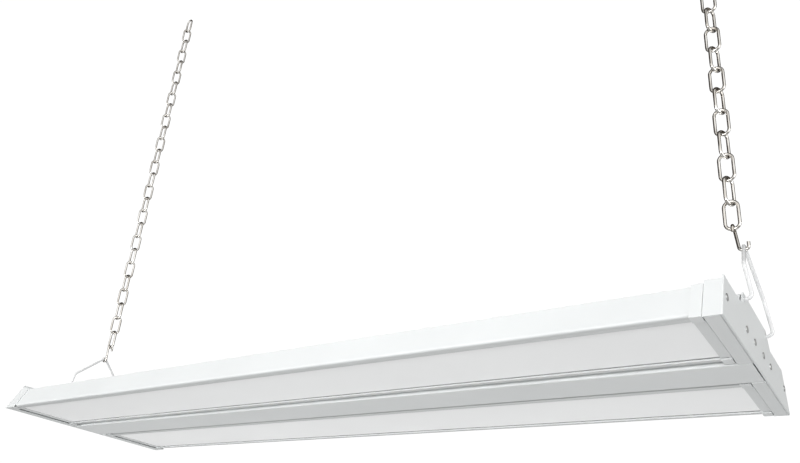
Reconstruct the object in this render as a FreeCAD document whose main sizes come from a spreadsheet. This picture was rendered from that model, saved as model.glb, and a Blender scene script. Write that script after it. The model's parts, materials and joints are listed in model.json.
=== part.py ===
import FreeCAD, Part
import math
import os
import re
import Sketcher
from FreeCAD import Placement, Rotation, Vector

# Linear high bay light: two light modules, a driver box between them, end plates, wire hangers and chains.
# X runs along the length, -Y is the front, +Z is up. The origin is the centre of the underside.

# Driving sizes in millimetres, kept in the sheet
sizes = {
    # whole fitting
    "length": 1190, "width": 346, "height": 68, "seam": 0.2, "seat": 0.05,
    # end plates
    "wing_height": 49, "wing_slant": 24, "shoulder_width": 150, "crown_width": 116,
    "plate_sheet": 1.5, "plate_flange": 15.5, "flange_drop": 4, "plate_bend": 1.2,
    # strips behind the end plates
    "bracket_sheet": 1.2, "bracket_bend": 1.4, "bracket_flange": 14.3, "bracket_drop": 5, "notch_height": 16,
    "notch_play": 1.2,
    # light modules
    "module_width": 133, "module_spacing": 76, "module_bottom": 1.6, "module_top": 39, "module_slant": 18,
    "module_sheet": 1, "module_bend": 3.5, "lip_width": 12, "lip_height": 2,
    "lens_sheet": 2, "lens_play": 1,
    "board_width": 64, "board_sheet": 1.6, "board_margin": 24,
    "led_side": 3.5, "led_thick": 0.8, "led_row_spacing": 32, "led_rows": 2, "led_columns": 20,
    # module caps
    "cap_gap": 1.3, "cap_depth": 10.8, "cap_wall": 1.2, "cap_rise": 2.2, "cap_strip": 1.2,
    "cap_strip_recess": 0.8,
    "boss_diameter": 10, "boss_hole": 4.2, "cap_screw_spacing": 86, "screw_height": 26,
    # driver box and cover
    "box_sheet": 1, "box_drop": 1, "foot_width": 14, "cover_width": 64, "cover_sheet": 1, "cover_side": 14,
    "cover_bend": 2, "cover_end_gap": 1.2, "clip_sheet": 1.2, "clip_length": 30, "clip_inset": 112,
    # driver, terminal block
    "driver_length": 280, "driver_width": 54, "driver_height": 30, "driver_foot": 12,
    "driver_foot_sheet": 1.5, "driver_bend": 3,
    "terminal_length": 48, "terminal_width": 22, "terminal_height": 18, "terminal_reach": 60,
    "terminal_step": 7, "terminal_ways": 4,
    # screws and nuts
    "screw_diameter": 4, "screw_hole": 4.4, "head_diameter": 7.6, "head_height": 2.2, "head_chamfer": 1,
    "cap_screw_length": 13, "middle_screw_length": 8, "middle_screw_spacing": 44,
    "nut_flats": 7, "nut_thick": 3.2, "rivet_margin": 67, "rivet_count": 5,
    "top_screw_length": 6, "top_screw_spacing": 30,
    # supply gland
    "gland_thread": 20, "gland_flats": 27, "gland_flange": 5, "gland_neck": 8, "gland_bore": 12,
    "gland_cap_height": 17, "gland_cap_wall": 3, "gland_cable": 10, "gland_mouth": 5, "gland_round": 3,
    "locknut_thick": 5, "gland_play": 0.2,
    # hangers
    "hanger_wire": 4, "hanger_hole": 4.6, "hanger_spread": 114, "hanger_height": 60, "hanger_stand": 8,
    "hanger_tail": 10, "knee_spread": 106, "knee_height": 102, "crest_height": 148, "crest_lean": 11,
    "tail_bend": 6, "knee_bend": 10, "crest_bend": 7,
    # hooks and chains
    "hook_wire": 3.6, "hook_half": 4.8, "hook_bend": 4.2, "hook_length": 32, "hook_tip": 9, "hook_lean": 9,
    "hang_gap": 0.3, "link_wire": 3.8, "link_inside": 32.5, "link_width": 19, "link_turn": 64, "links": 27,
}

# Sizes worked out from the driving ones
worked_out = {
    "half_length": "length / 2",
    "plate_inside": "half_length - plate_sheet",
    "web_outside": "plate_inside - seam",
    "web_inside": "web_outside - bracket_sheet",
    "strip_edge": "web_outside - bracket_flange",
    "wing_slope": "wing_slant / wing_height",
    "plate_across": "plate_sheet * sqrt(1 + wing_slope ^ 2)",
    "module_middle": "module_spacing / 2 + module_width / 2",
    "module_half": "module_width / 2",
    "module_slope": "module_slant / (module_top - module_bottom)",
    "wall_across": "module_sheet * sqrt(1 + module_slope ^ 2)",
    "opening_half": "module_half - lip_width",
    "lens_bottom": "module_bottom + lip_height + seam / 2",
    "lens_top": "lens_bottom + lens_sheet",
    "lens_half": "module_half - wall_across - module_slope * (lens_top - module_bottom) - lens_play",
    "cap_end": "strip_edge - cap_gap",
    "cap_start": "cap_end - cap_depth",
    "cap_over": "cap_wall + seam",
    "housing_half": "cap_end - cap_wall - seam",
    "lens_half_length": "housing_half - lens_play",
    "strip_bottom": "lens_bottom - seam - cap_strip",
    "module_ceiling": "module_top - module_sheet",
    "board_bottom": "module_ceiling - seam / 2 - board_sheet",
    "board_half_length": "housing_half - board_margin",
    "box_top": "height - box_drop",
    "box_ceiling": "box_top - box_sheet",
    "box_slope": "(shoulder_width - crown_width) / 2 / (height - wing_height)",
    "box_across": "box_sheet * sqrt(1 + box_slope ^ 2)",
    "box_crown_half": "crown_width / 2 - box_drop",
    "box_seat": "module_top + seam / 2",
    "box_step": "module_top + cap_rise + 2 * seam",
    "box_half_length": "web_inside - seam",
    "foot_half_length": "cap_start - seam",
    "foot_top": "box_seat + box_sheet",
    "foot_half": "box_crown_half + box_slope * (box_top - foot_top) + foot_width",
    "rivet_line": "foot_half - foot_width / 2",
    "rivet_pitch": "2 * (foot_half_length - rivet_margin) / (rivet_count - 1)",
    "cover_half": "cover_width / 2",
    "cover_half_length": "plate_inside - cover_end_gap",
    "notch_half": "cover_half + notch_play",
    "clip_half": "cover_half - cover_sheet - seam",
    "clip_reach": "box_half_length - clip_inset",
    "terminal_end": "terminal_reach + terminal_length / 2",
    "driver_reach": "(terminal_end + clip_reach - clip_length / 2) / 2",
    "driver_screw_reach": "driver_length / 2 + driver_foot / 2",
    "head_radius": "head_diameter / 2",
    "gland_hole": "gland_thread + 2 * gland_play",
    "gland_top": "box_top + seat + gland_flange + gland_neck",
}

# Places closer than this count as one
near = 0.01

doc = FreeCAD.newDocument("linear_high_bay_light")
dims = doc.addObject("Spreadsheet::Sheet", "dims")
for row, (alias, size) in enumerate(sizes.items(), start=1):
    dims.set("A%d" % row, alias)
    dims.set("B%d" % row, str(size))
    dims.setAlias("B%d" % row, alias)
doc.recompute()


def expand(text):
    """Writes an expression in the sheet's cells."""
    def cell(word):
        name = word.group()
        if name in worked_out:
            return "(" + expand(worked_out[name]) + ")"
        return "dims." + name if name in sizes else name
    return re.sub(r"[a-z_]+", cell, text)


def value(text):
    return float(dims.evalExpression(expand(text)))


def vector(x, y, z):
    return Vector(value(x), value(y), value(z))


def both_sides(points):
    """Closes a right-hand half outline with its mirror image."""
    return points + [("-(%s)" % across, up) for across, up in reversed(points)]


def new_body(label):
    body = doc.addObject("PartDesign::Body", label)
    body.Label = label
    return body


def new_sketch(body, name, offset, role):
    sketch = body.newObject("Sketcher::SketchObject", name)
    plane = next(item for item in body.Origin.OriginFeatures if item.Role == role)
    sketch.AttachmentSupport = [(plane, "")]
    sketch.MapMode = "FlatFace"
    sketch.setExpression("AttachmentOffset.Base.z", expand(offset))
    return sketch


def fix_point(sketch, item, place, across, up):
    """Ties a point of a sketch to two expressions."""
    for kind, text in (("DistanceX", across), ("DistanceY", up)):
        number = sketch.addConstraint(Sketcher.Constraint(kind, -1, 1, item, place, value(text)))
        sketch.setExpression("Constraints[%d]" % number, expand(text))


def outline(body, name, loops, offset="0", role="YZ_Plane"):
    """Sketches closed outlines whose corners follow the sheet."""
    sketch = new_sketch(body, name, offset, role)
    for points in loops:
        first = sketch.GeometryCount
        corners = [Vector(value(across), value(up), 0) for across, up in points]
        count = len(corners)
        for number, corner in enumerate(corners):
            sketch.addGeometry(Part.LineSegment(corner, corners[(number + 1) % count]))
        for number, (across, up) in enumerate(points):
            following = first + (number + 1) % count
            sketch.addConstraint(Sketcher.Constraint("Coincident", first + number, 2, following, 1))
            fix_point(sketch, first + number, 1, across, up)
    return sketch


def rounds(body, name, centres, diameter, offset="0", role="YZ_Plane"):
    """Sketches equal circles whose centres follow the sheet."""
    sketch = new_sketch(body, name, offset, role)
    for across, up in centres:
        circle = Part.Circle(Vector(value(across), value(up), 0), Vector(0, 0, 1), value(diameter) / 2)
        number = sketch.addGeometry(circle)
        size = sketch.addConstraint(Sketcher.Constraint("Diameter", number, value(diameter)))
        sketch.setExpression("Constraints[%d]" % size, expand(diameter))
        fix_point(sketch, number, 3, across, up)
    return sketch


def pad(body, sketch, length, middle=False, back=False):
    feature = body.newObject("PartDesign::Pad", sketch.Name + "_pad")
    feature.Profile = sketch
    feature.Midplane = middle
    feature.Reversed = back
    feature.setExpression("Length", expand(length))
    return feature


def pocket(body, sketch, length=None, forward=True):
    """Cuts along the sketch's normal by a length, or right through both ways."""
    doc.recompute()
    before = body.Shape.Volume
    feature = body.newObject("PartDesign::Pocket", sketch.Name + "_pocket")
    feature.Profile = sketch
    if length is None:
        feature.Type = "ThroughAll"
        feature.Midplane = True
    else:
        feature.Reversed = forward
        feature.setExpression("Length", expand(length))
    doc.recompute()
    if body.Shape.Volume >= before:
        raise RuntimeError(sketch.Name + " cuts nothing")
    return feature


def fillet(body, name, radius, chosen):
    """Rounds the edges whose end points pass a test."""
    doc.recompute()
    base = body.Tip
    found = []
    for number, edge in enumerate(base.Shape.Edges, start=1):
        if chosen([vertex.Point for vertex in edge.Vertexes]):
            found.append("Edge%d" % number)
    feature = body.newObject("PartDesign::Fillet", name)
    feature.Base = (base, found)
    feature.setExpression("Radius", expand(radius))
    return feature


def round_edges(body, name, radius, corners):
    """Rounds the edges along X that stand on the given corners of the section."""
    spots = [(value(across), value(up)) for across, up in corners]

    def on_corner(points):
        for across, up in spots:
            if all(math.hypot(point.y - across, point.z - up) < near for point in points):
                return True
        return False

    return fillet(body, name, radius, on_corner)


def set_down(body, across="0", turned=False, along="0"):
    """Places a body along and across the fitting, turned to face the other end if asked."""
    body.Placement = Placement(Vector(), Rotation(Vector(0, 0, 1), 180 if turned else 0))
    body.setExpression("Placement.Base.x", expand(along))
    body.setExpression("Placement.Base.y", expand(across))
    return body


def free_shape(label, shape, turned=False):
    """A piece made with Part's own functions, where sketches don't fit it."""
    feature = doc.addObject("Part::Feature", label)
    feature.Label = label
    feature.Shape = shape
    feature.Placement = Placement(Vector(), Rotation(Vector(0, 0, 1), 180 if turned else 0))
    return feature


ends = (("right", False), ("left", True))
rows = (("front", "-module_middle"), ("rear", "module_middle"))
nodes = []


# Light modules

def trough(grow="0", floor="module_bottom", roof="module_top"):
    """Outline of a module's outside, grown sideways by a clearance or a wall."""
    lower = "module_half + %s + module_slope * (module_bottom - (%s))" % (grow, floor)
    upper = "module_half + %s - module_slope * (%s - module_bottom)" % (grow, roof)
    return both_sides([(lower, floor), (upper, roof)])


def module_housing(label, across):
    """Folded trough with sloped walls and two inturned flanges that end in an upturned lip."""
    body = new_body(label)
    pad(body, outline(body, label + "_outside", [trough()]), "2 * housing_half", middle=True)
    floor = "module_bottom + module_sheet"
    wall = "module_half - wall_across - module_slope * (%s - module_bottom)"
    hollow = both_sides([
        ("opening_half", "module_bottom - module_sheet"),
        ("opening_half", "module_bottom + lip_height"),
        ("opening_half + module_sheet", "module_bottom + lip_height"),
        ("opening_half + module_sheet", floor),
        (wall % floor, floor),
        (wall % "module_ceiling", "module_ceiling"),
    ])
    pocket(body, outline(body, label + "_hollow", [hollow]))
    inner = [(wall % floor, floor), ("-(%s)" % (wall % floor), floor)]
    round_edges(body, label + "_inner_bend", "module_bend - module_sheet", inner)
    outer = [("module_half", "module_bottom"), ("-module_half", "module_bottom")]
    round_edges(body, label + "_outer_bend", "module_bend", outer)
    side = "-" if across.startswith("-") else ""
    holes = [("rivet_pitch * " + step, side + "(rivet_line - module_middle)") for step in rivet_steps()]
    drilled = rounds(body, label + "_holes", holes, "screw_hole", "module_ceiling - seam", "XY_Plane")
    pocket(body, drilled, "module_sheet + 2 * seam")
    return set_down(body, across)


def rivet_steps():
    """Places of the rivets along a foot of the driver box, in pitches from the middle."""
    count = int(value("rivet_count"))
    return ["(%g)" % (number - (count - 1) / 2) for number in range(count)]


def module_cap(label, across, turned):
    """Cap over a module's end: a rim round the trough, a strip that holds the lens and two screw bosses."""
    body = new_body(label)
    roof = "module_top + cap_rise"
    rim = trough("cap_over", "module_bottom - cap_wall", roof)
    pad(body, outline(body, label + "_rim", [rim], "cap_start"), "cap_depth")
    socket = trough("seam", "module_bottom - seam", "module_top + seam")
    pocket(body, outline(body, label + "_socket", [socket], "cap_start"), "cap_depth - cap_wall")
    recess_half = "opening_half - cap_strip_recess"
    recess = both_sides([(recess_half, "0"), (recess_half, "strip_bottom")])
    pocket(body, outline(body, label + "_recess", [recess], "cap_start - seam"), "cap_depth + 2 * seam")
    strip_half = "opening_half - seam"
    strip = both_sides([(strip_half, "strip_bottom"), (strip_half, "strip_bottom + cap_strip")])
    pad(body, outline(body, label + "_strip", [strip], "cap_start"), "cap_depth")
    centres = [("cap_screw_spacing / 2", "screw_height"), ("-cap_screw_spacing / 2", "screw_height")]
    reach = "web_inside - seam - cap_end"
    bosses = rounds(body, label + "_bosses", centres, "boss_diameter", "cap_end - cap_wall / 2")
    pad(body, bosses, reach + " + cap_wall / 2")
    bored = rounds(body, label + "_bores", centres, "boss_hole", "cap_end + " + reach)
    pocket(body, bored, reach + " + cap_wall / 2", forward=False)
    return set_down(body, across, turned)


def lens(label, across):
    """Opal panel that lies on the lips of a module."""
    body = new_body(label)
    sheet = both_sides([("lens_half", "lens_bottom"), ("lens_half", "lens_top")])
    pad(body, outline(body, label + "_section", [sheet]), "2 * lens_half_length", middle=True)
    return set_down(body, across)


def led_board(label, across):
    body = new_body(label)
    half = "board_width / 2"
    section = both_sides([(half, "board_bottom"), (half, "board_bottom + board_sheet")])
    pad(body, outline(body, label + "_section", [section]), "2 * board_half_length", middle=True)
    return set_down(body, across)


def leds(label, across):
    """Rows of small light packages on the underside of a board."""
    side = value("led_side")
    thick = value("led_thick")
    columns = int(value("led_columns"))
    lines = int(value("led_rows"))
    pitch = 2 * value("board_half_length") / columns
    top = value("board_bottom - seat")
    packages = []
    for column in range(columns):
        for line in range(lines):
            along = (column - (columns - 1) / 2) * pitch
            aside = value(across) + (line - (lines - 1) / 2) * value("led_row_spacing")
            corner = Vector(along - side / 2, aside - side / 2, top - thick)
            packages.append(Part.makeBox(side, side, thick, corner))
    return free_shape(label, Part.makeCompound(packages))


for row, across in rows:
    nodes.append(module_housing("module_housing_" + row, across))
    nodes.append(lens("lens_" + row, across))
    nodes.append(led_board("led_board_" + row, across))
    nodes.append(leds("leds_" + row, across))
    for end, turned in ends:
        nodes.append(module_cap("module_cap_%s_%s" % (row, end), across, turned))


# Driver box, its cover and what it holds

def driver_box():
    """Hat-shaped channel over the middle, with feet that stand on the modules between their caps."""
    body = new_body("driver_box")

    def outside(up):
        return "box_crown_half + box_slope * (box_top - (%s))" % up

    def inside(up):
        return outside(up) + " - box_across"

    channel = both_sides([
        (inside("box_ceiling"), "box_ceiling"),
        (inside("box_step"), "box_step"),
        (outside("box_step"), "box_step"),
        (outside("box_top"), "box_top"),
    ])
    pad(body, outline(body, "box_channel", [channel]), "2 * box_half_length", middle=True)
    foot = [
        (inside("box_step"), "box_step"),
        (inside("box_seat"), "box_seat"),
        ("foot_half", "box_seat"),
        ("foot_half", "foot_top"),
        (outside("foot_top"), "foot_top"),
        (outside("box_step"), "box_step"),
    ]
    mirrored = [("-(%s)" % aside, up) for aside, up in foot]
    pad(body, outline(body, "box_feet", [foot, mirrored]), "2 * foot_half_length", middle=True)
    feet = [("rivet_pitch * " + step, sign + "rivet_line") for step in rivet_steps() for sign in ("", "-")]
    through = "box_sheet + 2 * seam"
    under_roof = "box_ceiling - seam"
    pocket(body, rounds(body, "box_foot_holes", feet, "screw_hole", "box_seat - seam", "XY_Plane"), through)
    pocket(body, rounds(body, "box_top_holes", top_screws(), "screw_hole", under_roof, "XY_Plane"), through)
    pocket(body, rounds(body, "box_entry", [("0", "0")], "gland_hole", under_roof, "XY_Plane"), through)
    return body


def top_screws():
    """Places of the screws in the roof: two for each clip bracket and one for each foot of a driver."""
    places = []
    for end in ("", "-"):
        for aside in ("top_screw_spacing / 2", "-top_screw_spacing / 2"):
            places.append((end + "clip_reach", aside))
        for step in ("+", "-"):
            places.append(("%s(driver_reach %s driver_screw_reach)" % (end, step), "0"))
    return places


def driver_cover():
    """Shallow channel that closes the driver box from below and shows between the modules."""
    body = new_body("driver_cover")
    side = "cover_half - cover_sheet"
    section = both_sides([
        ("cover_half", "0"),
        ("cover_half", "cover_side"),
        (side, "cover_side"),
        (side, "cover_sheet"),
    ])
    pad(body, outline(body, "cover_section", [section]), "2 * cover_half_length", middle=True)
    inner = [(side, "cover_sheet"), ("-(%s)" % side, "cover_sheet")]
    round_edges(body, "cover_inner_bend", "cover_bend - cover_sheet", inner)
    outer = [("cover_half", "0"), ("-cover_half", "0")]
    round_edges(body, "cover_outer_bend", "cover_bend", outer)
    return body


def cover_bracket(label, turned):
    """Folded bracket under the roof of the driver box, with legs that the cover's sides clip on to."""
    body = new_body(label)
    top = "box_ceiling - seat"
    bottom = "cover_bend + seam"
    leg = "clip_half - clip_sheet"
    section = both_sides([
        (leg, top + " - clip_sheet"),
        (leg, bottom),
        ("clip_half", bottom),
        ("clip_half", top),
    ])
    pad(body, outline(body, label + "_section", [section], "clip_reach"), "clip_length", middle=True)
    centres = [("clip_reach", "top_screw_spacing / 2"), ("clip_reach", "-top_screw_spacing / 2")]
    drilled = rounds(body, label + "_holes", centres, "boss_hole", top + " - clip_sheet - seam", "XY_Plane")
    pocket(body, drilled, "clip_sheet + 2 * seam")
    return set_down(body, turned=turned)


def led_driver(label, turned):
    """Closed metal case with a foot at each end, hung from the roof of the driver box."""
    body = new_body(label)
    top = "box_ceiling - seat"
    bottom = top + " - driver_height"
    case = both_sides([("driver_width / 2", bottom), ("driver_width / 2", top)])
    pad(body, outline(body, label + "_case", [case], "driver_reach"), "driver_length", middle=True)
    corners = [("driver_width / 2", bottom), ("-driver_width / 2", bottom)]
    round_edges(body, label + "_edges", "driver_bend", corners)
    foot = both_sides([("driver_width / 2", top + " - driver_foot_sheet"), ("driver_width / 2", top)])
    long_foot = "driver_length + 2 * driver_foot"
    pad(body, outline(body, label + "_feet", [foot], "driver_reach"), long_foot, middle=True)
    centres = [("driver_reach + driver_screw_reach", "0"), ("driver_reach - driver_screw_reach", "0")]
    below = top + " - driver_foot_sheet - seam"
    drilled = rounds(body, label + "_holes", centres, "boss_hole", below, "XY_Plane")
    pocket(body, drilled, "driver_foot_sheet + 2 * seam")
    return set_down(body, turned=turned)


def terminal_block():
    """Moulded connector strip with a row of wire ways, under the roof of the driver box."""
    body = new_body("terminal_block")
    top = "box_ceiling - seat"
    section = both_sides([
        ("terminal_width / 2", top),
        ("terminal_width / 2", top + " - terminal_height + terminal_step"),
        ("terminal_width / 2 - terminal_step", top + " - terminal_height"),
    ])
    pad(body, outline(body, "terminal_section", [section], "terminal_reach"), "terminal_length", middle=True)
    pitch = "terminal_length / terminal_ways"
    ways = int(value("terminal_ways"))
    centres = []
    for number in range(ways):
        centres.append(("terminal_reach + %s * (%g)" % (pitch, number - (ways - 1) / 2), "0"))
    below = top + " - terminal_height"
    drilled = rounds(body, "terminal_ways_holes", centres, "terminal_step", below, "XY_Plane")
    pocket(body, drilled, "terminal_height - terminal_step")
    return body


nodes += [driver_box(), driver_cover(), terminal_block()]
for end, turned in ends:
    nodes.append(cover_bracket("cover_bracket_" + end, turned))
    nodes.append(led_driver("led_driver_" + end, turned))


# End plates and the strips behind them

def end_screw_places():
    """Heights and places of the screws across an end plate."""
    module_screws = ["module_middle + cap_screw_spacing / 2", "module_middle - cap_screw_spacing / 2"]
    outer = module_screws + ["-(%s)" % text for text in module_screws]
    middle = ["middle_screw_spacing / 2", "-middle_screw_spacing / 2"]
    return outer, middle


def end_plate(label, turned):
    """Flat plate with a raised middle and two side flanges folded inwards along its sloped edges."""
    body = new_body(label)
    face = both_sides([
        ("width / 2", "0"),
        ("width / 2 - wing_slant", "wing_height"),
        ("shoulder_width / 2", "wing_height"),
        ("crown_width / 2", "height"),
    ])
    pad(body, outline(body, label + "_face", [face], "plate_inside"), "plate_sheet")
    flange_top = "wing_height - flange_drop"
    outer_top = "width / 2 - wing_slope * (%s)" % flange_top
    flange = [
        ("width / 2", "0"),
        (outer_top, flange_top),
        (outer_top + " - plate_across", flange_top),
        ("width / 2 - plate_across", "0"),
    ]
    mirrored = [("-(%s)" % aside, up) for aside, up in flange]
    folded = outline(body, label + "_flanges", [flange, mirrored], "half_length")
    pad(body, folded, "plate_sheet + plate_flange", back=True)
    outer, middle = end_screw_places()
    centres = [(place, "screw_height") for place in outer + middle]
    drilled = rounds(body, label + "_holes", centres, "screw_hole", "plate_inside - seam")
    pocket(body, drilled, "plate_sheet + 2 * seam")
    wire_holes = [("hanger_spread / 2", "hanger_height"), ("-hanger_spread / 2", "hanger_height")]
    drilled = rounds(body, label + "_wire_holes", wire_holes, "hanger_hole", "plate_inside - seam")
    pocket(body, drilled, "plate_sheet + 2 * seam")

    def on_fold(points):
        slopes = [value("width / 2") - value("wing_slope") * point.z for point in points]
        on_face = all(abs(point.x - value("half_length")) < near for point in points)
        return on_face and all(abs(abs(point.y) - slope) < near for point, slope in zip(points, slopes))

    fillet(body, label + "_bend", "plate_bend", on_fold)
    return set_down(body, turned=turned)


def end_bracket(label, turned):
    """Inner end wall with a flange under each module's end, open in the middle for the cover."""
    body = new_body(label)
    foot = "width / 2 - plate_across - seam"
    top = "wing_height - bracket_drop"
    web = both_sides([
        ("notch_half", "notch_height"),
        ("notch_half", "0"),
        (foot, "0"),
        (foot + " - wing_slope * (%s)" % top, top),
    ])
    pad(body, outline(body, label + "_web", [web], "web_inside"), "bracket_sheet")
    strip_end = foot + " - wing_slope * bracket_sheet"
    strip = [
        ("notch_half", "0"),
        (strip_end, "0"),
        (strip_end, "bracket_sheet"),
        ("notch_half", "bracket_sheet"),
    ]
    mirrored = [("-(%s)" % aside, up) for aside, up in strip]
    folded = outline(body, label + "_strips", [strip, mirrored], "web_outside")
    pad(body, folded, "bracket_flange", back=True)
    outer, middle = end_screw_places()
    centres = [(place, "screw_height") for place in outer + middle]
    drilled = rounds(body, label + "_holes", centres, "screw_hole", "web_inside - seam")
    pocket(body, drilled, "bracket_sheet + 2 * seam")

    def on_fold(points):
        return all(abs(point.x - value("web_outside")) < near and abs(point.z) < near for point in points)

    fillet(body, label + "_bend", "bracket_bend", on_fold)
    return set_down(body, turned=turned)


for end, turned in ends:
    nodes.append(end_plate("end_plate_" + end, turned))
    nodes.append(end_bracket("end_bracket_" + end, turned))


# Screws and nuts

def screw(length):
    """Pan-headed screw with its head on the origin and its shank down Z."""
    tall = value("head_height")
    head = Part.makeCylinder(value("head_radius"), tall)
    rim = [edge for edge in head.Edges if edge.BoundBox.ZMin > tall / 2]
    head = head.makeChamfer(value("head_chamfer"), rim)
    shank = Part.makeCylinder(value("screw_diameter / 2"), length, Vector(0, 0, -length))
    return head.fuse(shank).removeSplitter()


def hexagon(flats):
    """Corners of a hexagon across its flats, as expressions."""
    return [("%s / sqrt(3) * cos(%d deg)" % (flats, turn), "%s / sqrt(3) * sin(%d deg)" % (flats, turn))
            for turn in range(0, 360, 60)]


def nut():
    """Hexagon nut standing on the origin."""
    corners = [vector(across, up, "0") for across, up in hexagon("nut_flats")]
    block = Part.Face(Part.makePolygon(corners + corners[:1])).extrude(vector("0", "0", "nut_thick"))
    return block.cut(Part.makeCylinder(value("boss_hole / 2"), value("nut_thick")))


def placed(shape, place, axis=Vector(0, 0, 1)):
    copy = shape.copy()
    copy.Placement = Placement(place, Rotation(Vector(0, 0, 1), axis))
    return copy


def group(shape, places, axis=Vector(0, 0, 1)):
    return Part.makeCompound([placed(shape, vector(*place), axis) for place in places])


outer, middle = end_screw_places()
along_x = Vector(1, 0, 0)
long_screws = group(screw(value("cap_screw_length")),
                    [("half_length + seat", place, "screw_height") for place in outer], along_x)
short_screws = group(screw(value("middle_screw_length")),
                     [("half_length + seat", place, "screw_height") for place in middle], along_x)
screws = Part.makeCompound(long_screws.Solids + short_screws.Solids)
nuts = group(nut(), [("web_inside - seat - nut_thick", place, "screw_height") for place in middle], along_x)
for end, turned in ends:
    nodes.append(free_shape("end_plate_screws_" + end, screws, turned))
    nodes.append(free_shape("end_plate_nuts_" + end, nuts, turned))

rivet = screw(value("box_sheet + module_sheet + seam / 2"))
for row, sign in (("front", "-"), ("rear", "")):
    places = [("rivet_pitch * " + step, sign + "rivet_line", "foot_top + seat") for step in rivet_steps()]
    nodes.append(free_shape("box_rivets_" + row, group(rivet, places)))

places = [(along, aside, "box_top + seat") for along, aside in top_screws()]
nodes.append(free_shape("box_top_screws", group(screw(value("top_screw_length")), places)))


# Supply gland in the roof of the driver box

def gland_body():
    """Threaded tube with a hexagon flange that sits on the roof."""
    body = new_body("gland_body")
    flange_bottom = "box_top + seat"
    flange = outline(body, "gland_flange_outline", [hexagon("gland_flats")], flange_bottom, "XY_Plane")
    pad(body, flange, "gland_flange")
    neck = rounds(body, "gland_neck_circle", [("0", "0")], "gland_thread", flange_bottom, "XY_Plane")
    pad(body, neck, "gland_flange + gland_neck")
    tail = rounds(body, "gland_tail_circle", [("0", "0")], "gland_thread", flange_bottom, "XY_Plane")
    pad(body, tail, "box_sheet + locknut_thick + 2 * seat + seam", back=True)
    pocket(body, rounds(body, "gland_bore_circle", [("0", "0")], "gland_bore", "0", "XY_Plane"))
    return body


def gland_nut():
    """Domed cap nut over the gland's neck, with a hole for the cable."""
    body = new_body("gland_nut")
    bottom = "box_top + 2 * seat + gland_flange"
    outside = "gland_hole + 2 * gland_cap_wall"
    pad(body, rounds(body, "gland_cap_circle", [("0", "0")], outside, bottom, "XY_Plane"), "gland_cap_height")
    top = value(bottom + " + gland_cap_height")

    def on_rim(points):
        return all(abs(point.z - top) < near for point in points)

    fillet(body, "gland_cap_dome", "gland_round", on_rim)
    socket = rounds(body, "gland_cap_socket", [("0", "0")], "gland_hole", bottom, "XY_Plane")
    pocket(body, socket, "gland_cap_height - gland_mouth")
    pocket(body, rounds(body, "gland_cap_mouth", [("0", "0")], "gland_cable", "0", "XY_Plane"))
    return body


def gland_seal():
    """Rubber ring that the cap nut presses on to the gland's neck."""
    body = new_body("gland_seal")
    top = "box_top + 2 * seat + gland_flange + gland_cap_height - gland_mouth - seat"
    height = "(%s) - (gland_top + seat)" % top
    ring = rounds(body, "gland_seal_circle", [("0", "0")], "gland_thread", "gland_top + seat", "XY_Plane")
    pad(body, ring, height)
    bore = "gland_cable + 2 * gland_play"
    pocket(body, rounds(body, "gland_seal_bore", [("0", "0")], bore, "0", "XY_Plane"))
    return body


def gland_locknut():
    """Flat hexagon nut on the gland's tail, under the roof."""
    body = new_body("gland_locknut")
    bottom = "box_ceiling - seat - locknut_thick"
    pad(body, outline(body, "locknut_outline", [hexagon("gland_flats")], bottom, "XY_Plane"), "locknut_thick")
    pocket(body, rounds(body, "locknut_bore", [("0", "0")], "gland_hole", "0", "XY_Plane"))
    return body


nodes += [gland_body(), gland_nut(), gland_seal(), gland_locknut()]


# Wire hangers, hooks and chains

def rounded_path(points, radii):
    """Straight runs through the points, with a tangent arc of its own radius at each inner one."""
    edges = []
    start = points[0]
    for before, corner, after, radius in zip(points, points[1:], points[2:], radii):
        to_before = (before - corner).normalize()
        to_after = (after - corner).normalize()
        half = to_before.getAngle(to_after) / 2
        reach = radius / math.tan(half)
        centre = corner + (to_before + to_after).normalize() * (radius / math.sin(half))
        first = corner + to_before * reach
        last = corner + to_after * reach
        middle = centre + (corner - centre).normalize() * radius
        edges.append(Part.makeLine(start, first))
        edges.append(Part.Arc(first, middle, last).toShape())
        start = last
    edges.append(Part.makeLine(start, points[-1]))
    return Part.Wire(edges)


def rod(path, diameter):
    """Round wire along a path."""
    first = path.OrderedEdges[0]
    tangent = first.tangentAt(first.FirstParameter)
    circle = Part.makeCircle(diameter / 2, path.OrderedVertexes[0].Point, tangent)
    return path.makePipeShell([Part.Wire(circle)], True, False)


def hanger():
    """White wire bow: tails in two holes of the end plate, legs, knees and a crest for the hook."""
    foot = value("half_length + hanger_stand")
    low = value("hanger_height")
    crest = value("crest_height")
    lean = value("crest_lean") / (crest - low)
    aside = value("hanger_spread / 2")
    knee_aside = value("knee_spread / 2")
    knee_up = value("knee_height")
    knee = Vector(foot - lean * (knee_up - low), knee_aside, knee_up)
    slope = (crest - knee_up) / knee_aside
    half = math.atan2(1, slope)
    peak = crest + value("crest_bend") * (1 / math.sin(half) - 1)
    top = Vector(foot - lean * (peak - low), 0, peak)
    tail = Vector(value("plate_inside - hanger_tail"), aside, low)
    corner = Vector(foot, aside, low)
    right = [tail, corner, knee]
    left = [Vector(point.x, -point.y, point.z) for point in reversed(right)]
    bends = [value("tail_bend"), value("knee_bend")]
    radii = bends + [value("crest_bend")] + bends[::-1]
    return rod(rounded_path(right + [top] + left, radii), value("hanger_wire"))


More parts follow.
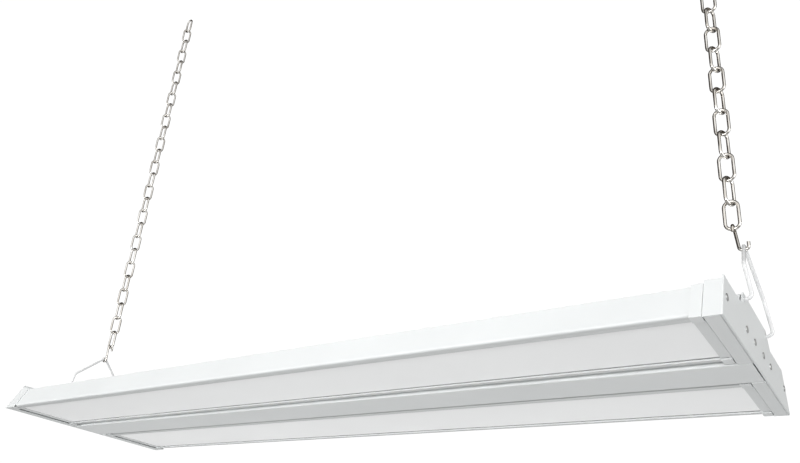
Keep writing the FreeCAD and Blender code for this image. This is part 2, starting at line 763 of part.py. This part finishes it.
def s_hook(bow_along, chain_along, crest):
    """Plated wire hook: a bend under the bow's crest and, a quarter turn on, one through the lowest link."""
    half = value("hook_half")
    tip = value("hook_tip")
    low = crest - value("hook_wire / 2 + hanger_wire / 2 + hang_gap")
    high = low + value("hook_length")
    points = [
        Vector(bow_along + half, 0, low + tip),
        Vector(bow_along + half, 0, low),
        Vector(bow_along - half, 0, low),
        Vector(chain_along, half, high),
        Vector(chain_along, -half, high),
        Vector(chain_along, -half, high - tip),
    ]
    bends = [value("hook_bend")] * (len(points) - 2)
    return rod(rounded_path(points, bends), value("hook_wire")), high


# Flats round the wire of a link, and straight runs in each of its bends; an odd number leaves a flat crest
wire_sides = 8
bend_runs = 5


def link():
    """Long link of flat-sided wire, upright in the plane of the length, with its bends in straight runs."""
    wire = value("link_wire")
    bend = value("link_width / 2") - wire / 2
    straight = value("link_inside / 2") + wire / 2 - bend * math.cos(math.pi / 2 / bend_runs)
    turns = [math.pi * step / bend_runs for step in range(bend_runs + 1)]
    corners = [Vector(bend * math.cos(turn), 0, straight + bend * math.sin(turn)) for turn in turns]
    corners += [Vector(-corner.x, 0, -corner.z) for corner in corners]
    start = (corners[-1] + corners[0]) * 0.5
    loop = [start] + corners + [start]
    path = Part.Wire([Part.makeLine(a, b) for a, b in zip(loop, loop[1:])])
    half_side = math.pi / wire_sides
    spoke = wire / 2 / math.cos(half_side)
    angles = [half_side * (2 * side + 1) for side in range(wire_sides + 1)]
    section = Part.makePolygon([start + Vector(spoke * math.cos(a), spoke * math.sin(a), 0) for a in angles])
    return path.makePipeShell([section], True, False, 1).removeSplitter()


bow = hanger()
crest_along = value("half_length + hanger_stand - crest_lean")
chain_along = crest_along - value("hook_lean")
hook, hook_top = s_hook(crest_along, chain_along, value("crest_height"))
link_solid = link()
first_link = hook_top - value("hook_wire / 2 + hang_gap") + value("link_inside / 2")
pitch = value("link_inside - hang_gap")
chain = []
for number in range(int(value("links"))):
    copy = link_solid.copy()
    turn = Rotation(Vector(0, 0, 1), value("link_turn") * (number % 2))
    copy.Placement = Placement(Vector(chain_along, 0, first_link + pitch * number), turn)
    chain.append(copy)
for end, turned in ends:
    nodes.append(free_shape("hanger_" + end, bow, turned))
    nodes.append(free_shape("s_hook_" + end, hook, turned))
    nodes.append(free_shape("chain_" + end, Part.makeCompound(chain[:-1]), turned))
    nodes.append(free_shape("top_link_" + end, Part.makeCompound(chain[-1:]), turned))


# Checks and export

doc.recompute()
for item in doc.Objects:
    if "Invalid" in item.State or "Error" in item.State:
        raise RuntimeError("%s failed: %s" % (item.Name, item.State))
os.makedirs("parts", exist_ok=True)
for node in nodes:
    if node.Shape.isNull() or not node.Shape.isValid():
        raise RuntimeError(node.Label + " has no valid shape")
    node.Shape.exportStep("parts/%s.step" % node.Label)
print("%d nodes written, top of the chains at %.1f mm" % (len(nodes), chain[-1].BoundBox.ZMax))
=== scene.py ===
import json
import math

import bmesh
import bpy
from mathutils import Matrix, Vector


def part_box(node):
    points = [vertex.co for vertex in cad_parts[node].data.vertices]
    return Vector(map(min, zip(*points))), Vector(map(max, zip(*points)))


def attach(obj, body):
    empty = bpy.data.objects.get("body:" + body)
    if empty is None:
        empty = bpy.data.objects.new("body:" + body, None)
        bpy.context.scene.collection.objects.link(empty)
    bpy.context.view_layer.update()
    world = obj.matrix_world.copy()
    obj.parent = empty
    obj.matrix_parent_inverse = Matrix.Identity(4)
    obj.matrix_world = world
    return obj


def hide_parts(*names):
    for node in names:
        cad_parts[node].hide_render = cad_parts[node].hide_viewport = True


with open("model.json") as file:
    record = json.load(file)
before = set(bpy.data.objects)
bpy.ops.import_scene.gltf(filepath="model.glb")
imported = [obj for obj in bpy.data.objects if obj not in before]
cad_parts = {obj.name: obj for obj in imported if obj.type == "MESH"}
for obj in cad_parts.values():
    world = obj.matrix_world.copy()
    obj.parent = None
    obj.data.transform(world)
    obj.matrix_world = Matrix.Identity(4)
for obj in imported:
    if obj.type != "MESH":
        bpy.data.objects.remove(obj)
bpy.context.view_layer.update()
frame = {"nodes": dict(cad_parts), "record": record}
nodes = frame["nodes"]
millimetre = 0.001
print("frame loaded:", len(nodes), "nodes")


# finishes

evenly = (1.0, 1.0, 1.0)
grainNoise = {"low": 0.3, "high": 0.7, "detail": 3.0, "plainDetail": 1.0}  # most of the noise lies between low and high


def newFinish(name):
    material = bpy.data.materials.new(name)
    material.use_nodes = True
    tree = material.node_tree
    return material, tree, tree.nodes["Principled BSDF"]


def addNoise(tree, scale, detail=grainNoise["detail"], stretch=evenly):
    place = tree.nodes.new("ShaderNodeTexCoord")
    mapping = tree.nodes.new("ShaderNodeMapping")
    mapping.inputs["Scale"].default_value = stretch
    noise = tree.nodes.new("ShaderNodeTexNoise")
    noise.inputs["Scale"].default_value = scale
    noise.inputs["Detail"].default_value = detail
    tree.links.new(place.outputs["Object"], mapping.inputs["Vector"])
    tree.links.new(mapping.outputs["Vector"], noise.inputs["Vector"])
    return noise


def driveColor(tree, shader, noise, dark, light):
    ramp = tree.nodes.new("ShaderNodeValToRGB")
    low, high = ramp.color_ramp.elements
    low.position, high.position = grainNoise["low"], grainNoise["high"]
    low.color, high.color = (*dark, 1.0), (*light, 1.0)
    tree.links.new(noise.outputs["Fac"], ramp.inputs["Fac"])
    tree.links.new(ramp.outputs["Color"], shader.inputs["Base Color"])


def driveRoughness(tree, shader, noise, smooth, rough):
    spread = tree.nodes.new("ShaderNodeMapRange")
    spread.inputs["From Min"].default_value = grainNoise["low"]
    spread.inputs["From Max"].default_value = grainNoise["high"]
    spread.inputs["To Min"].default_value = smooth
    spread.inputs["To Max"].default_value = rough
    tree.links.new(noise.outputs["Fac"], spread.inputs["Value"])
    tree.links.new(spread.outputs["Result"], shader.inputs["Roughness"])


def driveBump(tree, shader, noise, depth):
    bump = tree.nodes.new("ShaderNodeBump")
    bump.inputs["Distance"].default_value = depth
    bump.inputs["Strength"].default_value = 1.0
    tree.links.new(noise.outputs["Fac"], bump.inputs["Height"])
    tree.links.new(bump.outputs["Normal"], shader.inputs["Normal"])


def shadeColor(tree, shader, amount):
    mix = tree.nodes.new("ShaderNodeMix")
    mix.data_type = "RGBA"
    mix.blend_type = "MULTIPLY"
    mix.inputs["Factor"].default_value = 1.0
    plain = shader.inputs["Base Color"].links[0].from_socket
    tree.links.new(plain, mix.inputs["A"])
    tree.links.new(amount, mix.inputs["B"])
    tree.links.new(mix.outputs["Result"], shader.inputs["Base Color"])


def addFade(tree, value, start, end, shade):
    fade = tree.nodes.new("ShaderNodeMapRange")
    fade.inputs["From Min"].default_value = start
    fade.inputs["From Max"].default_value = end
    fade.inputs["To Min"].default_value = 1.0
    fade.inputs["To Max"].default_value = shade
    tree.links.new(value, fade.inputs["Value"])
    return fade.outputs["Result"]


# painted shade: the base colour of faces that look down is darkened by the coat's factor
def shadeUnderside(tree, shader, shade):
    under = tree.nodes.new("ShaderNodeAttribute")  # how far each face of a rounded sheet looks down, which sets how much painted shade it gets
    under.attribute_name = "underside"
    shadeColor(tree, shader, addFade(tree, under.outputs["Fac"], 0.0, 1.0, shade))


def shadeSeams(tree, shader, seam):
    # painted shade in the corners that run along the length, by distance from a line at each side of the middle
    place = tree.nodes.new("ShaderNodeTexCoord")
    axes = tree.nodes.new("ShaderNodeSeparateXYZ")
    tree.links.new(place.outputs["Object"], axes.inputs["Vector"])
    across = axes.outputs["Y"]
    for middle in (0.0, seam["middle"]):
        apart = tree.nodes.new("ShaderNodeMath")
        apart.operation = "SUBTRACT"
        apart.inputs[1].default_value = middle
        size = tree.nodes.new("ShaderNodeMath")
        size.operation = "ABSOLUTE"
        tree.links.new(across, apart.inputs[0])
        tree.links.new(apart.outputs["Value"], size.inputs[0])
        across = size.outputs["Value"]
    shadeColor(tree, shader, addFade(tree, across, seam["from"], seam["to"], seam["shade"]))


# the last value darkens faces that look down: painted shade, not a change in the coat
powderCoat = {"dark": (0.765, 0.785, 0.785), "light": (0.805, 0.825, 0.825), "smooth": 0.34, "rough": 0.46,
              "patch": 7.0, "peel": 900.0, "peelDepth": 0.03 * millimetre, "underside": 0.74}
# the caps and end strips get more painted shade underneath, and the troughs more again, with a painted shade line in
# the seam beside the cover
endShadedCoat = dict(powderCoat, underside=0.7)
troughShadedCoat = dict(powderCoat, underside=0.61, seam={"middle": 0.0, "from": 0.0404, "to": 0.0386, "shade": 0.05})
wireCoat = {"dark": (0.74, 0.745, 0.75), "light": (0.79, 0.795, 0.795), "smooth": 0.14, "rough": 0.22,
            "patch": 40.0, "peel": 1400.0, "peelDepth": 0.02 * millimetre}


def makePowderCoat(name, coat):
    material, tree, shader = newFinish(name)
    patches = addNoise(tree, coat["patch"])
    driveColor(tree, shader, patches, coat["dark"], coat["light"])
    peel = addNoise(tree, coat["peel"], detail=grainNoise["plainDetail"])
    driveRoughness(tree, shader, peel, coat["smooth"], coat["rough"])
    driveBump(tree, shader, peel, coat["peelDepth"])
    if "underside" in coat:
        shadeUnderside(tree, shader, coat["underside"])
    if "seam" in coat:
        shadeSeams(tree, shader, coat["seam"])
    return material


# painted shade darkens the panels along their edges, where they lie on the lips
opal = {"dark": (0.81, 0.815, 0.815), "light": (0.84, 0.845, 0.845), "smooth": 0.38, "rough": 0.46,
        "patch": 4.0, "grain": 2200.0, "grainDepth": 0.01 * millimetre,
        "glow": 0.15, "glowDepth": 4 * millimetre,
        "seam": {"middle": 0.1045, "from": 0.0505, "to": 0.0538, "shade": 0.1}}


def makeOpal(name):
    material, tree, shader = newFinish(name)
    driveColor(tree, shader, addNoise(tree, opal["patch"]), opal["dark"], opal["light"])
    grain = addNoise(tree, opal["grain"], detail=grainNoise["plainDetail"])
    driveRoughness(tree, shader, grain, opal["smooth"], opal["rough"])
    driveBump(tree, shader, grain, opal["grainDepth"])
    shadeSeams(tree, shader, opal["seam"])
    shader.inputs["Subsurface Weight"].default_value = opal["glow"]
    shader.inputs["Subsurface Radius"].default_value = (opal["glowDepth"],) * 3
    return material


nickelPlating = {"dark": (0.46, 0.43, 0.39), "light": (0.80, 0.785, 0.76), "smooth": 0.08, "rough": 0.18,
                 "grain": 34.0, "depth": 0.008 * millimetre, "metal": 1.0}
zincPlating = {"dark": (0.42, 0.43, 0.43), "light": (0.52, 0.52, 0.51), "smooth": 0.46, "rough": 0.58,
               "grain": 600.0, "depth": 0.008 * millimetre, "metal": 1.0}
brushedCase = {"dark": (0.60, 0.61, 0.62), "light": (0.72, 0.73, 0.74), "smooth": 0.35, "rough": 0.5,
               "grain": 90.0, "stretch": (0.05, 1.0, 1.0), "depth": 0.01 * millimetre, "metal": 1.0}
whiteBoard = {"dark": (0.78, 0.78, 0.75), "light": (0.84, 0.84, 0.82), "smooth": 0.4, "rough": 0.55,
              "grain": 300.0, "depth": 0.01 * millimetre}
phosphor = {"dark": (0.78, 0.60, 0.18), "light": (0.88, 0.70, 0.26), "smooth": 0.35, "rough": 0.5,
            "grain": 900.0, "depth": 0.01 * millimetre}
terminalPlastic = {"dark": (0.60, 0.60, 0.57), "light": (0.68, 0.68, 0.65), "smooth": 0.45, "rough": 0.6,
                   "grain": 500.0, "depth": 0.02 * millimetre}
glandNylon = {"dark": (0.70, 0.70, 0.69), "light": (0.78, 0.78, 0.77), "smooth": 0.42, "rough": 0.55,
              "grain": 700.0, "depth": 0.02 * millimetre}
sealRubber = {"dark": (0.012, 0.012, 0.012), "light": (0.022, 0.022, 0.022), "smooth": 0.6, "rough": 0.8,
              "grain": 500.0, "depth": 0.03 * millimetre}


def makeGrained(name, finish):
    material, tree, shader = newFinish(name)
    shader.inputs["Metallic"].default_value = finish.get("metal", 0.0)
    grain = addNoise(tree, finish["grain"], stretch=finish.get("stretch", evenly))
    driveColor(tree, shader, grain, finish["dark"], finish["light"])
    driveRoughness(tree, shader, grain, finish["smooth"], finish["rough"])
    driveBump(tree, shader, grain, finish["depth"])
    return material


finishes = {
    "white_sheet": makePowderCoat("whitePowderCoat", powderCoat),
    "white_wire": makePowderCoat("whiteWireCoat", wireCoat),
    "opal_panel": makeOpal("opalPanel"),
    "plated_wire": makeGrained("nickelPlating", nickelPlating),
    "plated_screw": makeGrained("zincPlating", zincPlating),
    "board": makeGrained("whiteBoard", whiteBoard),
    "light_package": makeGrained("phosphor", phosphor),
    "driver_case": makeGrained("brushedCase", brushedCase),
    "terminal_plastic": makeGrained("terminalPlastic", terminalPlastic),
    "gland_plastic": makeGrained("glandNylon", glandNylon),
    "seal_rubber": makeGrained("sealRubber", sealRubber),
}
# copies of the powder coat with more painted shade underneath, for the troughs, caps and end strips
shadedCoats = {"module_housing": makePowderCoat("troughPowderCoatPaintedShade", troughShadedCoat)}
shadedCoats["module_cap"] = shadedCoats["end_bracket"] = makePowderCoat("endPowderCoatPaintedShade", endShadedCoat)
for subpart in frame["record"]["subparts"]:
    mesh = nodes[subpart["node"]].data
    mesh.materials.clear()
    mesh.materials.append(finishes[subpart["material_slot"]])
print("finishes made:", len(finishes))


# pieces that stand for nodes

def addPiece(name, bm, slotName, node):
    mesh = bpy.data.meshes.new(name)
    bm.to_mesh(mesh)
    bm.free()
    mesh.materials.append(finishes[slotName])
    piece = bpy.data.objects.new(name, mesh)
    bpy.context.scene.collection.objects.link(piece)
    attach(piece, "root")
    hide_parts(node)
    return piece


def markSmooth(bm, sharpAngle):
    for face in bm.faces:
        face.smooth = True
    for edge in bm.edges:
        edge.smooth = edge.calc_face_angle(0.0) < sharpAngle


# stores on each corner how far its face looks down, the mask for the painted shade
def markUnderside(bm, level, steep):
    layer = bm.loops.layers.float.new("underside")
    for face in bm.faces:
        down = (level - face.normal.z) / (level - steep)
        for loop in face.loops:
            loop[layer] = min(max(down, 0.0), 1.0)


sheetEdges = {"round": 0.3 * millimetre, "steps": 2, "sharp": math.radians(38), "flat": math.radians(0.5),
              "merge": 0.002 * millimetre}
# upward part of the normal at which a face starts to get the painted shade of faces that look down, and gets it fully;
# the cover's bends are left out of it, so they stay light
undersides = {"sheets": {"level": 0.05, "steep": -0.7}, "driver_cover": {"level": -0.75, "steep": -0.98}}


def addRoundedCopy(name, node, slotName, edgeRound):
    bm = bmesh.new()
    bm.from_mesh(nodes[node].data)
    bmesh.ops.remove_doubles(bm, verts=bm.verts, dist=sheetEdges["merge"])
    bmesh.ops.dissolve_limit(bm, angle_limit=sheetEdges["flat"], verts=bm.verts, edges=bm.edges)
    if edgeRound:
        corners = [edge for edge in bm.edges if edge.calc_face_angle(0.0) > sheetEdges["sharp"]]
        bmesh.ops.bevel(bm, geom=corners, offset=edgeRound, segments=sheetEdges["steps"], profile=0.5,
                        affect="EDGES", clamp_overlap=True, material=-1)
    bm.normal_update()
    markUnderside(bm, **undersides.get(node, undersides["sheets"]))
    markSmooth(bm, sheetEdges["sharp"])
    piece = addPiece(name, bm, slotName, node)
    if edgeRound:
        flatten = piece.modifiers.new("flatFaces", "WEIGHTED_NORMAL")  # keeps the rounding out of the flats
        flatten.keep_sharp = True
    return piece


roundedSheets = {
    "module_housing_front": "frontTrough", "module_housing_rear": "rearTrough",
    "module_cap_front_left": "frontCap_left", "module_cap_front_right": "frontCap_right",
    "module_cap_rear_left": "rearCap_left", "module_cap_rear_right": "rearCap_right",
    "driver_box": "driverChannel", "driver_cover": "coverStrip",
    "end_plate_left": "endPlate_left", "end_plate_right": "endPlate_right",
    "end_bracket_left": "endStrip_left", "end_bracket_right": "endStrip_right",
}
for node, name in roundedSheets.items():
    piece = addRoundedCopy(name, node, "white_sheet", sheetEdges["round"])
    # the troughs, caps and end strips take the copies with more painted shade
    for kind, finish in shadedCoats.items():
        if node.startswith(kind):
            piece.data.materials[0] = finish
for end in ("left", "right"):  # wires are round already
    addRoundedCopy("wireBow_" + end, "hanger_" + end, "white_wire", 0.0)
    addRoundedCopy("chainHook_" + end, "s_hook_" + end, "plated_wire", 0.0)
for row in ("front", "rear"):
    addRoundedCopy(row + "Rivets", "box_rivets_" + row, "plated_screw", sheetEdges["round"])
addRoundedCopy("glandFlange", "gland_body", "gland_plastic", sheetEdges["round"])
addRoundedCopy("glandCap", "gland_nut", "gland_plastic", sheetEdges["round"])
print("sheets rounded:", len(roundedSheets))


linkShape = {"wire": 3.8 * millimetre, "sides": 14, "bendSteps": 12, "links": 27, "turn": math.radians(64),
             "merge": 0.01 * millimetre}


def addLink(bm, centre, turn, bend, straight):
    start = set(bm.verts)
    ring = bmesh.ops.create_circle(bm, segments=linkShape["sides"], radius=linkShape["wire"] / 2)["verts"]
    bmesh.ops.translate(bm, verts=ring, vec=(bend, 0.0, -straight))
    rim = [edge for edge in bm.edges if edge.verts[0] in ring and edge.verts[1] in ring]
    for side in (1, -1):  # up one side and round the bend, then down the other
        grown = bmesh.ops.extrude_edge_only(bm, edges=rim)["geom"]
        moved = [item for item in grown if isinstance(item, bmesh.types.BMVert)]
        bmesh.ops.translate(bm, verts=moved, vec=(0.0, 0.0, side * 2 * straight))
        edges = [item for item in grown if isinstance(item, bmesh.types.BMEdge)]
        turned = bmesh.ops.spin(bm, geom=edges, cent=(0.0, 0.0, side * straight), axis=(0.0, -1.0, 0.0),
                                angle=math.pi, steps=linkShape["bendSteps"])["geom_last"]
        rim = [item for item in turned if isinstance(item, bmesh.types.BMEdge)]
    made = [vert for vert in bm.verts if vert not in start]
    bmesh.ops.rotate(bm, verts=made, cent=(0.0, 0.0, 0.0), matrix=Matrix.Rotation(turn, 3, "Z"))
    bmesh.ops.translate(bm, verts=made, vec=centre)


def closeLinks(bm):
    bmesh.ops.remove_doubles(bm, verts=bm.verts, dist=linkShape["merge"])
    bmesh.ops.recalc_face_normals(bm, faces=bm.faces)
    markSmooth(bm, math.pi)
    return bm


def addChain(end):
    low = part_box("chain_" + end)[0]
    topLow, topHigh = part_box("top_link_" + end)
    middle = (topLow + topHigh) / 2
    bend = (topHigh.x - topLow.x) / 2 - linkShape["wire"] / 2
    straight = (topHigh.z - topLow.z) / 2 - linkShape["wire"] / 2 - bend
    firstUp = low.z + (topHigh.z - topLow.z) / 2
    last = linkShape["links"] - 1
    pitch = (middle.z - firstUp) / last
    links = bmesh.new()
    for number in range(last):
        centre = Vector((middle.x, middle.y, firstUp + pitch * number))
        addLink(links, centre, linkShape["turn"] * (number % 2), bend, straight)
    addPiece("chainLinks_" + end, closeLinks(links), "plated_wire", "chain_" + end)
    topLink = bmesh.new()
    addLink(topLink, middle, linkShape["turn"] * (last % 2), bend, straight)
    addPiece("topChainLink_" + end, closeLinks(topLink), "plated_wire", "top_link_" + end)


for end in ("left", "right"):
    addChain(end)
print("chains linked")


# low heads, seated where the taller solid heads are
# the profile has the radius and height of each turn in millimetres, from the flat down to the plate
screwHead = {"solidHeight": 2.2 * millimetre, "height": 1.1 * millimetre, "recess": 0.9 * millimetre,
             "recessTaper": 0.7, "grid": 5, "flat": 2.7 * millimetre, "shank": 2.0 * millimetre,
             "profile": ((3.3, 0.98), (3.65, 0.75), (3.8, 0.45), (3.8, 0.0)), "sharp": math.radians(45)}


def addScrew(bm, place, turn, length):
    start = set(bm.verts)
    half = screwHead["flat"]
    cell = 2 * half / screwHead["grid"]
    bmesh.ops.create_grid(bm, x_segments=screwHead["grid"], y_segments=screwHead["grid"], size=half)
    made = [vert for vert in bm.verts if vert not in start]
    faces = {face for vert in made for face in vert.link_faces}
    cross = []  # the cell in the middle and the four beside it
    for face in faces:
        across, along = sorted(abs(value) for value in face.calc_center_median()[:2])
        if across < cell / 2 and along < 1.5 * cell:
            cross.append(face)
    rim = [edge for edge in {edge for vert in made for edge in vert.link_edges} if edge.is_boundary]
    for vert in {vert for edge in rim for vert in edge.verts}:
        vert.co = vert.co.normalized() * half
    bmesh.ops.translate(bm, verts=made, vec=(0.0, 0.0, screwHead["height"]))
    radius, up = half, screwHead["height"]
    turns = [(across * millimetre, high * millimetre) for across, high in screwHead["profile"]]
    for nextRadius, nextUp in turns + [(screwHead["shank"], 0.0), (screwHead["shank"], -length)]:
        grown = bmesh.ops.extrude_edge_only(bm, edges=rim)["geom"]
        verts = [item for item in grown if isinstance(item, bmesh.types.BMVert)]
        rim = [item for item in grown if isinstance(item, bmesh.types.BMEdge)]
        bmesh.ops.scale(bm, verts=verts, vec=(nextRadius / radius, nextRadius / radius, 1.0))
        bmesh.ops.translate(bm, verts=verts, vec=(0.0, 0.0, nextUp - up))
        radius, up = nextRadius, nextUp
    bmesh.ops.holes_fill(bm, edges=rim, sides=0)
    sunk = bmesh.ops.extrude_face_region(bm, geom=cross)["geom"]
    verts = [item for item in sunk if isinstance(item, bmesh.types.BMVert)]
    bmesh.ops.scale(bm, verts=verts, vec=(screwHead["recessTaper"], screwHead["recessTaper"], 1.0))
    bmesh.ops.translate(bm, verts=verts, vec=(0.0, 0.0, -screwHead["recess"]))
    bmesh.ops.delete(bm, geom=cross, context="FACES")
    made = [vert for vert in bm.verts if vert not in start]
    bmesh.ops.rotate(bm, verts=made, cent=(0.0, 0.0, 0.0), matrix=turn)
    bmesh.ops.translate(bm, verts=made, vec=place)


def closeScrews(bm):
    bmesh.ops.recalc_face_normals(bm, faces=bm.faces)
    markSmooth(bm, screwHead["sharp"])
    return bm


# each cross is turned on from the one before it
endScrews = {"up": 0.026, "long": 13 * millimetre, "longPlaces": (0.1475, 0.0615, -0.0615, -0.1475),
             "short": 8 * millimetre, "shortPlaces": (0.022, -0.022), "firstTurn": 0.5, "nextTurn": 1.1}


def addEndScrews(end, side):
    node = "end_plate_screws_" + end
    low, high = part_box(node)
    along = high.x - screwHead["solidHeight"] if side > 0 else low.x + screwHead["solidHeight"]
    outward = Matrix.Rotation(side * math.pi / 2, 3, "Y")
    bm = bmesh.new()
    for kind in ("long", "short"):
        for number, across in enumerate(endScrews[kind + "Places"]):
            spun = Matrix.Rotation(endScrews["firstTurn"] + endScrews["nextTurn"] * number, 3, "Z")
            addScrew(bm, Vector((along, across, endScrews["up"])), outward @ spun, endScrews[kind])
    addPiece("endScrews_" + end, closeScrews(bm), "plated_screw", node)


roofScrews = {"length": 6 * millimetre, "bracketAlong": 0.4799, "bracketAside": 0.015,
              "driverAlong": (0.42045, 0.12845), "firstTurn": 0.3, "nextTurn": 0.9}


def addRoofScrews():
    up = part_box("box_top_screws")[1].z - screwHead["solidHeight"]
    places = []
    for side in (1, -1):
        places += [(side * roofScrews["bracketAlong"], aside * roofScrews["bracketAside"]) for aside in (1, -1)]
        places += [(side * along, 0.0) for along in roofScrews["driverAlong"]]
    bm = bmesh.new()
    for number, (along, aside) in enumerate(places):
        spun = Matrix.Rotation(roofScrews["firstTurn"] + roofScrews["nextTurn"] * number, 3, "Z")
        addScrew(bm, Vector((along, aside, up)), spun, roofScrews["length"])
    addPiece("roofScrews", closeScrews(bm), "plated_screw", "box_top_screws")


addEndScrews("right", 1)
addEndScrews("left", -1)
addRoofScrews()
print("screws set")


# camera at the photo's angle: focal length and centre in pixels, turns in degrees, place in metres
photo = {"width": 800, "height": 463}
view = {"focal": 737.6, "yaw": -39.175, "pitch": 22.808, "roll": 6.449, "centre": (352.6, 296.9),
        "place": (0.7139, -0.8267, -0.2679), "sensor": 36.0, "near": 0.01, "far": 100.0}


def addCamera():
    yaw, pitch, roll = (math.radians(view[turn]) for turn in ("yaw", "pitch", "roll"))
    ahead = Vector((math.sin(yaw) * math.cos(pitch), math.cos(yaw) * math.cos(pitch), math.sin(pitch)))
    level = Vector((math.cos(yaw), -math.sin(yaw), 0.0))
    upright = level.cross(ahead)
    right = level * math.cos(roll) + upright * math.sin(roll)
    up = upright * math.cos(roll) - level * math.sin(roll)
    data = bpy.data.cameras.new("photoCamera")
    data.sensor_width = view["sensor"]
    data.lens = view["focal"] / photo["width"] * view["sensor"]
    data.shift_x = (photo["width"] / 2 - view["centre"][0]) / photo["width"]
    data.shift_y = (view["centre"][1] - photo["height"] / 2) / photo["width"]
    data.clip_start, data.clip_end = view["near"], view["far"]
    camera = bpy.data.objects.new("photoCamera", data)
    axes = Matrix((right, up, -ahead)).transposed().to_4x4()
    camera.matrix_world = Matrix.Translation(view["place"]) @ axes
    bpy.context.scene.collection.objects.link(camera)
    bpy.context.scene.camera = camera


addCamera()
print("camera placed")


# floor and light

paleFloor = {"drop": 0.75, "size": 30.0, "dark": (0.63, 0.635, 0.635), "light": (0.645, 0.65, 0.65),
             "smooth": 0.7, "rough": 0.8, "grain": 3.0, "depth": 0.1 * millimetre}


def addFloor():
    bm = bmesh.new()
    bmesh.ops.create_grid(bm, x_segments=1, y_segments=1, size=paleFloor["size"] / 2)
    bmesh.ops.translate(bm, verts=bm.verts, vec=(0.0, 0.0, -paleFloor["drop"]))
    mesh = bpy.data.meshes.new("floor")
    bm.to_mesh(mesh)
    bm.free()
    mesh.materials.append(makeGrained("paleFloor", paleFloor))
    floor = bpy.data.objects.new("floor", mesh)
    bpy.context.scene.collection.objects.link(floor)


# a white backdrop, even light all round, and for gloss a room that is bright at the camera's side only
studio = {"ambient": 0.67, "backdrop": 1.05, "shineDark": (0.07, 0.062, 0.054), "shineBright": (1.5, 1.5, 1.49),
          "shineFrom": 0.60, "shineTo": 0.82}


def addWorld(cameraSide):
    world = bpy.data.worlds.new("studio")
    world.use_nodes = True
    tree = world.node_tree
    background = tree.nodes["Background"]
    rays = tree.nodes.new("ShaderNodeLightPath")
    place = tree.nodes.new("ShaderNodeTexCoord")
    facing = tree.nodes.new("ShaderNodeVectorMath")
    facing.operation = "DOT_PRODUCT"
    facing.inputs[1].default_value = cameraSide
    spread = tree.nodes.new("ShaderNodeMapRange")
    spread.inputs["From Min"].default_value = -1.0
    shine = tree.nodes.new("ShaderNodeValToRGB")
    away, towards = shine.color_ramp.elements
    away.position, towards.position = studio["shineFrom"], studio["shineTo"]
    away.color, towards.color = (*studio["shineDark"], 1.0), (*studio["shineBright"], 1.0)
    glossy = tree.nodes.new("ShaderNodeMix")
    glossy.data_type = "RGBA"
    glossy.inputs["A"].default_value = (studio["ambient"],) * 3 + (1.0,)
    seen = tree.nodes.new("ShaderNodeMix")
    seen.data_type = "RGBA"
    seen.inputs["B"].default_value = (studio["backdrop"],) * 3 + (1.0,)
    tree.links.new(place.outputs["Generated"], facing.inputs[0])
    tree.links.new(facing.outputs["Value"], spread.inputs["Value"])
    tree.links.new(spread.outputs["Result"], shine.inputs["Fac"])
    tree.links.new(rays.outputs["Is Glossy Ray"], glossy.inputs["Factor"])
    tree.links.new(shine.outputs["Color"], glossy.inputs["B"])
    tree.links.new(rays.outputs["Is Camera Ray"], seen.inputs["Factor"])
    tree.links.new(glossy.outputs["Result"], seen.inputs["A"])
    tree.links.new(seen.outputs["Result"], background.inputs["Color"])
    bpy.context.scene.world = world


lightTarget = (0.0, 0.0, 0.05)
softboxes = {
    "keyBox": {"place": (-0.8, -2.6, 0.9), "width": 2.0, "height": 1.8, "power": 5.4, "spread": 120},
    "lowBox": {"place": (-0.1, -2.8, -0.45), "width": 3.4, "height": 0.4, "power": 12.4, "spread": 75},
    "endBox": {"place": (2.4, -0.3, 0.2), "width": 1.2, "height": 1.2, "power": 6.7, "spread": 120},
    "rearBox": {"place": (-0.15, 0.6, -0.6), "width": 2.2, "height": 0.1, "power": 2.45, "spread": 100},
}


def addSoftboxes():
    for name, box in softboxes.items():
        light = bpy.data.lights.new(name, "AREA")
        light.shape = "RECTANGLE"
        light.size = box["width"]
        light.size_y = box["height"]
        light.energy = box["power"]
        light.spread = math.radians(box["spread"])
        lamp = bpy.data.objects.new(name, light)
        lamp.location = box["place"]
        lamp.rotation_euler = (Vector(lightTarget) - lamp.location).to_track_quat("-Z", "Y").to_euler()
        bpy.context.scene.collection.objects.link(lamp)


addFloor()
addWorld(Vector(view["place"]).normalized())
addSoftboxes()
bpy.context.scene.view_settings.view_transform = "Standard"
print("studio lit")
